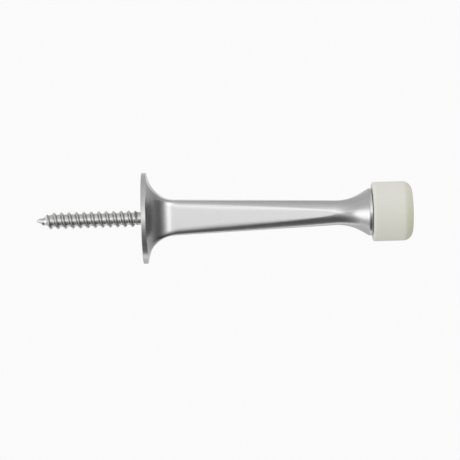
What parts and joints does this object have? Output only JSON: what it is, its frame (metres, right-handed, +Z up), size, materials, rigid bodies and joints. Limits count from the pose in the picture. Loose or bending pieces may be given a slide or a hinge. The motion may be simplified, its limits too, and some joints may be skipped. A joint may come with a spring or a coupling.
{
  "type": "wall door stop",
  "caption": "Rigid wall door stop: tapered square cast arm on a round flange, wood screw behind the flange, flared head with a rubber tip that the door meets.",
  "frame": {"origin": "centre of the flat back of the base flange, where it meets the wall", "axes": "+X along the arm from the wall to the rubber tip, +Z up, two of the arm's flats face +Z and -Z"},
  "size_m": [0.1062, 0.0258, 0.0258],
  "materials": {
    "satin_chrome": "satin",
    "zinc_plate": "gloss",
    "white_rubber": "matte"
  },
  "bodies": {
    "arm": {"stop_arm": "satin_chrome"},
    "screw": {"hanger_screw": "zinc_plate"},
    "tip": {"rubber_tip": "white_rubber"}
  },
  "joints": [
    {"name": "tip_pull", "type": "slide", "parent": "arm", "child": "tip", "axis": [1, 0, 0], "range_m": [0, 0.01]},
    {"name": "screw_out", "type": "slide", "parent": "arm", "child": "screw", "axis": [-1, 0, 0], "range_m": [0, 0.015]}
  ]
}
